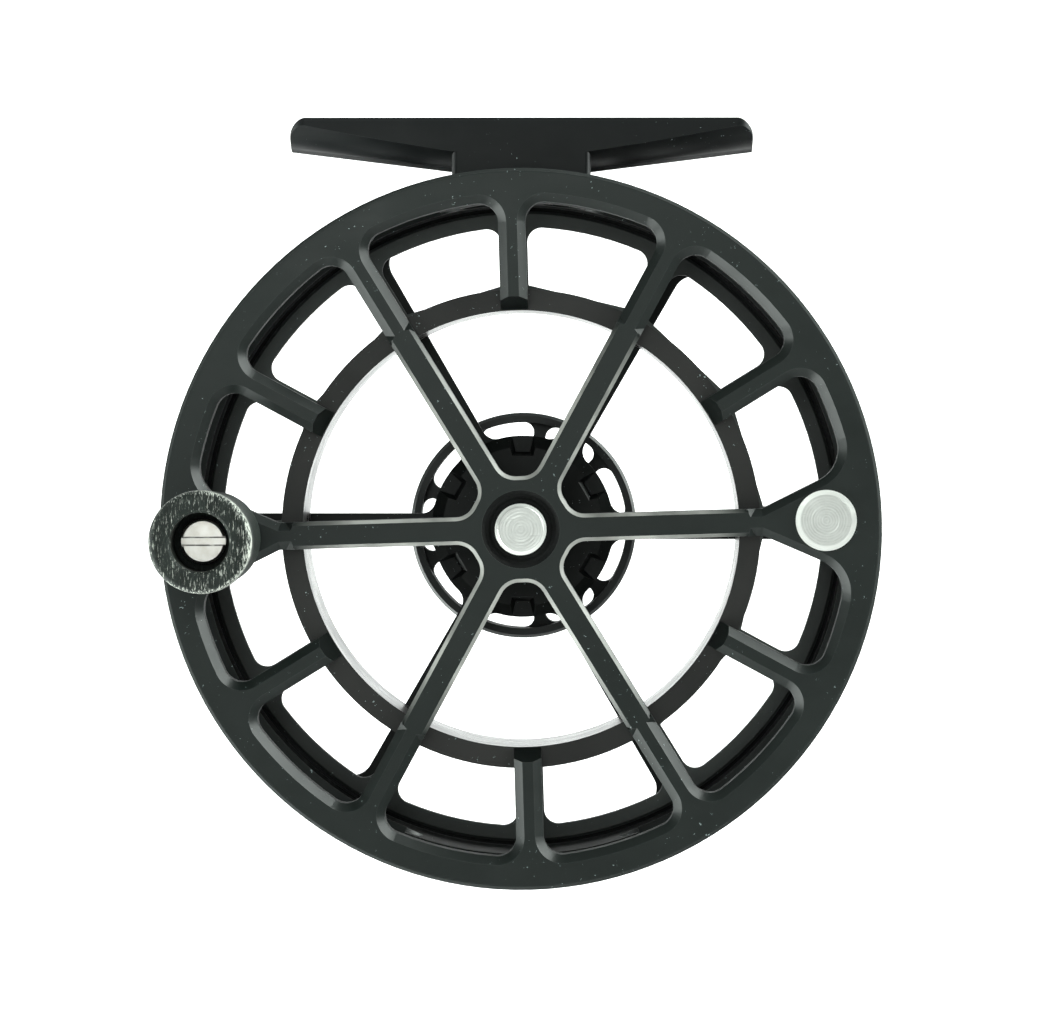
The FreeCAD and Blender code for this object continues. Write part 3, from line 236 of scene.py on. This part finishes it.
def turned_metal(name, centre, base, roughness, pitch_mm, depth_mm, ring_every=0.0, ring_tone=0.2,
                 painted_rim_highlight_from=None):
    """Lathe-turned metal: fine concentric tool marks round an axis, and a few scratches.

    ring_every adds coarser rings, ring_tone darkens the marks, and outside the rim radius given last (in
    millimetres) the metal is painted a quarter brighter, a painted highlight on its rim.
    """
    t = Tree(name)
    radius = t.radius(centre)
    waver = t.math("MULTIPLY", t.noise(1.6, detail=2), 0.05)
    fine = t.math("SINE", t.math("MULTIPLY", t.math("ADD", radius, waver), 2 * math.pi / pitch_mm))
    scratch = t.ramp(t.noise(0.35, detail=3, stretch=(9, 1, 1)), 0.66, 0.7)
    blotch = t.noise(1.4, detail=4)
    tone = t.mix(t.ramp(blotch, 0.3, 0.7), base, tuple(c * 0.88 for c in base))
    rubbed = t.ramp(t.noise(1.1, detail=3, shift=(4, 4, 4)), 0.35, 0.65)
    groove = t.math("MULTIPLY", t.ramp(fine, -0.2, 1.0), rubbed)
    tone = t.mix(t.math("MULTIPLY", groove, ring_tone), tone, tuple(c * 0.5 for c in base))
    # Painted highlight: outside this radius the metal is a quarter brighter, standing in for light on the
    # rim's bevel.
    if painted_rim_highlight_from:
        rim_highlight = t.ramp(radius, painted_rim_highlight_from, painted_rim_highlight_from + 0.08)
        tone = t.mix(rim_highlight, tone, tuple(c * 1.25 for c in base))
    colour = t.mix(t.math("MULTIPLY", scratch, 0.35), tone, tuple(c * 0.6 for c in base))
    rough = t.math("ADD", t.ramp(blotch, 0.3, 0.7, roughness - 0.05, roughness + 0.06),
                   t.math("MULTIPLY", scratch, 0.1))
    normal = t.bump(fine, depth_mm, strength=0.7)
    if ring_every:
        coarse = t.math("SINE", t.math("MULTIPLY", radius, 2 * math.pi / ring_every))
        normal = t.bump(t.ramp(coarse, 0.6, 1.0), depth_mm * 3, below=normal, strength=0.8)
    return t.finish(colour, rough, normal, metallic=1.0)


def knurl(t, normal):
    """A fine straight knurl round the drag knob's outer wall, clear of its edges."""
    ridges = 96.0
    wall = outer_radius("drag_knob")
    low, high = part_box("drag_knob")
    across, along, up = t.axes(t.place)
    turn = t.math("ARCTAN2", t.math("SUBTRACT", up, AXLE.z), t.math("SUBTRACT", across, AXLE.x))
    ridge = t.math("SINE", t.math("MULTIPLY", turn, ridges))
    outside = t.ramp(t.radius(AXLE), wall - 0.1, wall - 0.04)
    band = t.math("MULTIPLY", t.ramp(along, low.y + 1.0 * MM, low.y + 1.3 * MM),
                  t.ramp(along, high.y - 1.5 * MM, high.y - 1.8 * MM))
    height = t.math("MULTIPLY", t.math("MULTIPLY", ridge, outside), band)
    return t.bump(height, 0.16, below=normal)


def brushed_screw():
    """The handle's screw: brushed nickel, a little oxidised, and darker along the edges of its slot."""
    t = Tree("handle_screw_nickel")
    streak = t.noise(0.09, detail=3, stretch=(14, 1, 1))
    stain = t.noise(1.1, detail=5, rough=0.65)
    tone = t.mix(t.ramp(stain, 0.42, 0.7), (1.0, 0.96, 0.91), (0.93, 0.88, 0.81))
    slot_wall = 0.52 * MM
    _, _, up = t.axes(t.place)
    across = t.math("ABSOLUTE", t.math("SUBTRACT", up, HANDLE.z))
    from_wall = t.math("ABSOLUTE", t.math("SUBTRACT", across, slot_wall))
    patchy = t.ramp(t.noise(0.5, detail=3, stretch=(3, 1, 1), shift=(1, 5, 2)), 0.3, 0.5, 0.35, 0.95)
    # Darker along the edges of the slot.
    slot_edge_dark = t.math("MULTIPLY", t.ramp(from_wall, 0.13 * MM, 0.04 * MM), patchy)
    tone = t.mix(slot_edge_dark, tone, (0.05, 0.045, 0.04))
    rough = t.ramp(stain, 0.3, 0.7, 0.3, 0.45)
    normal = t.bump(streak, 0.01, strength=0.5)
    return t.finish(tone, rough, normal, metallic=1.0)


def phenolic():
    """Canvas phenolic grip: cloth threads in dark resin, and pale torn fibres on its rubbed nose."""
    t = Tree("grip_phenolic")
    weave = t.noise(0.3, detail=4, stretch=(0.8, 1.0, 2.6), rough=0.7)
    threads = t.noise(0.2, detail=3, stretch=(0.8, 3.5, 0.8), rough=0.6, shift=(3, 1, 2))
    layer = t.noise(1.9, detail=2, stretch=(1, 6, 6))
    edge = outer_radius("handle_knob")
    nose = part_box("handle_knob")[0].y
    across, along, up = t.axes(t.place)
    front = t.ramp(along, nose + 2.6 * MM, nose + 1.3 * MM)
    right = t.ramp(across, HANDLE.x - 3 * MM, HANDLE.x + 7 * MM, 0.0, 0.02)
    low = t.ramp(up, HANDLE.z + 5 * MM, HANDLE.z - 6.5 * MM, 0.0, 0.018)
    rim = t.math("MULTIPLY", t.ramp(t.radius(HANDLE), edge - 0.7, edge - 0.14, 0.0, 0.13),
                 t.ramp(across, HANDLE.x - 6 * MM, HANDLE.x + 4 * MM, 0.3, 1.0))
    patch = t.ramp(t.noise(1.7, detail=2, shift=(2, 8, 1)), 0.3, 0.7, -0.035, 0.035)
    streak = t.noise(0.34, detail=5, stretch=(0.55, 1.0, 3.6), rough=0.7, shift=(7, 2, 5))
    level = t.math("ADD", t.math("ADD", streak, rim), t.math("ADD", patch, t.math("ADD", right, low)))
    worn = t.math("MULTIPLY", t.ramp(level, 0.585, 0.70), front)
    fibres = t.ramp(weave, 0.52, 0.64)
    base = t.mix(t.ramp(layer, 0.35, 0.65), (0.0042, 0.0064, 0.0052), (0.0095, 0.0135, 0.0112))
    cloth = t.mix(t.math("MULTIPLY", fibres, 0.4), base, (0.06, 0.075, 0.065))
    colour = t.mix(worn, cloth, (0.47, 0.49, 0.44))
    rough = t.ramp(fibres, 0, 1, 0.6, 0.8)
    normal = t.bump(threads, 0.03, strength=0.55)
    normal = t.bump(t.math("ADD", weave, worn), 0.04, below=normal, strength=0.5)
    return t.finish(colour, rough, normal, ior=1.33)


def moulded(name, base, roughness, ior=1.5):
    """Moulded plastic or rubber with a fine spark texture."""
    t = Tree(name)
    grain = t.noise(0.14, detail=2)
    cloud = t.noise(3.0, detail=3)
    tone = t.mix(t.ramp(cloud, 0.3, 0.7), base, tuple(c * 1.35 for c in base))
    rough = t.ramp(cloud, 0.3, 0.7, roughness - 0.05, roughness + 0.08)
    return t.finish(tone, rough, t.bump(grain, 0.012, strength=0.6), ior=ior)


def carbon_lining():
    """Woven carbon friction lining."""
    t = Tree("carbon_lining")
    waves = []
    for turn in (math.pi / 4, -math.pi / 4):
        mapping = t.nodes.new("ShaderNodeMapping")
        mapping.inputs["Rotation"].default_value = (0, turn, 0)
        mapping.inputs["Scale"].default_value = (900, 900, 900)
        t.link(t.place, mapping.inputs["Vector"])
        wave = t.nodes.new("ShaderNodeTexWave")
        wave.inputs["Scale"].default_value = 1.0
        wave.inputs["Distortion"].default_value = 0.6
        t.link(mapping.outputs["Vector"], wave.inputs["Vector"])
        waves.append(wave.outputs["Fac"])
    weave = t.math("MULTIPLY", waves[0], waves[1])
    tone = t.mix(weave, (0.02, 0.02, 0.02), (0.1, 0.1, 0.1))
    return t.finish(tone, 0.55, t.bump(weave, 0.05))


def dress_anodised():
    """Spool, frame, foot and drag knob."""
    dark = (0.0036, 0.0060, 0.0052)
    # The spool gets a painted highlight on its arbor bevels and painted shade at its rib ends.
    spool = anodised("spool_anodised", dark, 0.30, 0.42, 1.0, painted_bevel_highlights=True, rim_rough=0.5)
    cage = anodised("frame_anodised", (0.0040, 0.0050, 0.0046), 0.32, 0.44, 4.0, ior=1.33)
    foot = anodised("foot_anodised", (0.0016, 0.0024, 0.0026), 0.34, 0.46, 7.0, nicks=0.7, ior=1.3)
    arbor = anodised("arbor_anodised", (0.0115, 0.0112, 0.0104), 0.36, 0.48, 12.0, wall_rough=-0.14)
    # Painted light: the rear flange has the same dark anodising as the front one, given a far lighter
    # colour to stand in for light reaching it deep in the frame.
    rear = anodised("rear_flange_painted_light", (0.038, 0.042, 0.040), 0.36, 0.48, 2.0)
    knob = anodised("drag_knob_anodised", (0.012, 0.014, 0.014), 0.28, 0.4, 9.0, relief=knurl)
    dress(spool, "spool_front_flange")
    dress(rear, "spool_rear_flange")
    dress(arbor, "spool_arbor")
    dress(cage, "frame_front_ring", "frame_back_plate", "frame_lower_pillar", "frame_foot_bridge")
    dress(foot, "reel_foot")
    dress(knob, "drag_knob")


def dress_metals():
    """Bare aluminium, steel and bronze pieces."""
    # The counterweight and the button get a painted highlight round their rims.
    weight = turned_metal("counterweight_aluminium", WEIGHT, (0.69, 0.70, 0.67), 0.40, 0.36, 0.007,
                          ring_every=1.5, ring_tone=0.3, painted_rim_highlight_from=outer_radius("counterweight") - 0.65)
    button = turned_metal("button_aluminium", BUTTON, (0.72, 0.73, 0.7), 0.36, 0.42, 0.005,
                          ring_every=1.3, ring_tone=0.25, painted_rim_highlight_from=outer_radius("release_button") - 0.5)
    steel = turned_metal("turned_steel", AXLE, (0.58, 0.57, 0.55), 0.3, 0.2, 0.008)
    wire = turned_metal("spring_steel", AXLE, (0.5, 0.49, 0.47), 0.24, 0.3, 0.003)
    polished = turned_metal("bearing_steel", AXLE, (0.66, 0.66, 0.66), 0.16, 0.12, 0.002)
    bronze = turned_metal("sintered_bronze", AXLE, (0.5, 0.33, 0.15), 0.42, 0.2, 0.006)
    dress(weight, "counterweight")
    dress(button, "release_button")
    dress(brushed_screw(), "handle_screw")
    dress(steel, "spindle", "drag_drive_sleeve", "knob_screw", "drag_fixed_plate", "drag_rotor_disc",
          "pressure_plate", "thrust_washer", "belleville_springs", "housing_snap_ring", "hub_snap_ring")
    dress(wire, "latch_clip", "button_spring", "click_leaf_spring", "detent_spring", "click_pawl_pin",
          "push_pins", "foot_screws", "handle_post")
    dress(polished, "bearing_balls", "bearing_inner_rings", "bearing_outer_rings", "clutch_shell",
          "clutch_rollers", "detent_ball")
    dress(bronze, "sleeve_bushes", "drag_nut")


def dress_others():
    """Grip, mouldings, seal and friction discs."""
    dress(phenolic(), "handle_knob")
    dress(moulded("black_acetal", (0.011, 0.011, 0.012), 0.3), "handle_washer", "handle_bush",
          "click_gear", "click_pawl")
    dress(moulded("hub_cap_acetal", (0.002, 0.0024, 0.0023), 0.62, 1.25), "hub_cap")
    dress(moulded("seal_rubber", (0.014, 0.014, 0.014), 0.6), "front_seal")
    dress(carbon_lining(), "friction_disc_front", "friction_disc_rear")


# ---------------------------------------------------------------- studio

DAYLIGHT = (0.93, 1.0, 0.965)


def sweep_paper():
    """White paper with a painted glow, faint on the floor in front and strong on the wall behind the reel.
    """
    paper = Tree("sweep_paper")
    cloud = paper.ramp(paper.noise(140.0, detail=2), 0.3, 0.7)
    paper.finish(paper.mix(cloud, (0.93, 0.93, 0.93), (0.95, 0.95, 0.95)), 0.9)
    _, along, _ = paper.axes(paper.place)
    # Painted glow: the paper emits light, faint on the floor in front and strong on the wall behind the
    # reel.
    painted_glow = paper.ramp(along, 0.0, 0.6, 0.12, 0.75)
    paper.link(painted_glow, paper.surface.inputs["Emission Strength"])
    paper.surface.inputs["Emission Color"].default_value = (1, 1, 1, 1)
    return paper.material


def backdrop():
    """A paper sweep: a floor far below the reel that curves up behind it."""
    floor = AXLE.z - 0.8
    back = 1.3
    bend = 0.5
    reach = 8.0
    top = 2.2
    steps = 12
    outline = [(-reach, floor), (back - bend, floor)]
    for step in range(1, steps + 1):
        angle = math.pi / 2 * step / steps
        outline.append((back - bend + bend * math.sin(angle), floor + bend - bend * math.cos(angle)))
    outline.append((back, top))
    points = []
    for x in (-reach, reach):
        points += [(x, y, z) for y, z in outline]
    count = len(outline)
    faces = [(i, i + 1, count + i + 1, count + i) for i in range(count - 1)]
    mesh = bpy.data.meshes.new("sweep")
    mesh.from_pydata(points, [], faces)
    mesh.shade_smooth()
    sweep = bpy.data.objects.new("sweep", mesh)
    bpy.context.scene.collection.objects.link(sweep)
    mesh.materials.append(sweep_paper())


def softbox(name, direction, distance, width, height, power, ahead):
    """A soft light aimed at the spool's face, ahead metres in front of it.

    Seen from the front it stands at distance from the axle, direction degrees anticlockwise from
    the right.
    """
    centre = Vector((AXLE.x, FACE_DEPTH, AXLE.z))
    angle = math.radians(direction)
    where = centre + Vector((math.cos(angle) * distance, -ahead, math.sin(angle) * distance))
    light = bpy.data.lights.new(name, "AREA")
    light.shape = "RECTANGLE"
    light.size = width
    light.size_y = height
    light.energy = power
    light.color = DAYLIGHT
    lamp = bpy.data.objects.new(name, light)
    lamp.location = where
    lamp.rotation_mode = "QUATERNION"
    lamp.rotation_quaternion = (centre - where).to_track_quat("-Z", "Y")
    bpy.context.scene.collection.objects.link(lamp)


def surroundings():
    """A white tent that is dimmer in front of the spool, where the photographer stands."""
    world = bpy.data.worlds.new("studio")
    bpy.context.scene.world = world
    world.use_nodes = True
    tree = world.node_tree
    links = tree.links
    background = tree.nodes["Background"]
    place = tree.nodes.new("ShaderNodeTexCoord")
    split = tree.nodes.new("ShaderNodeSeparateXYZ")
    ahead = tree.nodes.new("ShaderNodeMapRange")
    ahead.interpolation_type = "SMOOTHSTEP"
    links.new(place.outputs["Generated"], split.inputs[0])
    links.new(split.outputs["Y"], ahead.inputs["Value"])
    for name, number in (("From Min", -0.5), ("From Max", 0.75), ("To Min", 0.42), ("To Max", 1.2)):
        ahead.inputs[name].default_value = number
    links.new(ahead.outputs["Result"], background.inputs["Strength"])
    background.inputs["Color"].default_value = (*DAYLIGHT, 1)


def studio():
    backdrop()
    surroundings()
    softbox("left_box", direction=208, distance=0.6, width=0.6, height=0.7, power=14, ahead=0.05)
    softbox("right_box", direction=33, distance=0.6, width=0.6, height=0.6, power=13, ahead=0.05)
    softbox("front_box", direction=120, distance=0.14, width=0.16, height=0.16, power=0.29, ahead=0.62)
    bpy.context.scene.view_settings.view_transform = "Standard"


def camera():
    """Seen from the front, a little above and to the right of the axle, as in the photograph."""
    distance = 0.650
    view_width = 0.1431
    axle = Vector((AXLE.x, FACE_DEPTH, AXLE.z))
    stand = axle + Vector((0.0085, -distance, 0.0122))
    aim = axle + Vector((0.0010, 0, 0.0029))
    data = bpy.data.cameras.new("camera")
    data.sensor_width = 36
    data.lens = data.sensor_width * distance / view_width
    eye = bpy.data.objects.new("camera", data)
    eye.location = stand
    eye.rotation_mode = "QUATERNION"
    eye.rotation_quaternion = (aim - stand).to_track_quat("-Z", "Y")
    bpy.context.scene.collection.objects.link(eye)
    bpy.context.scene.camera = eye


dress_anodised()
dress_metals()
dress_others()
studio()
camera()
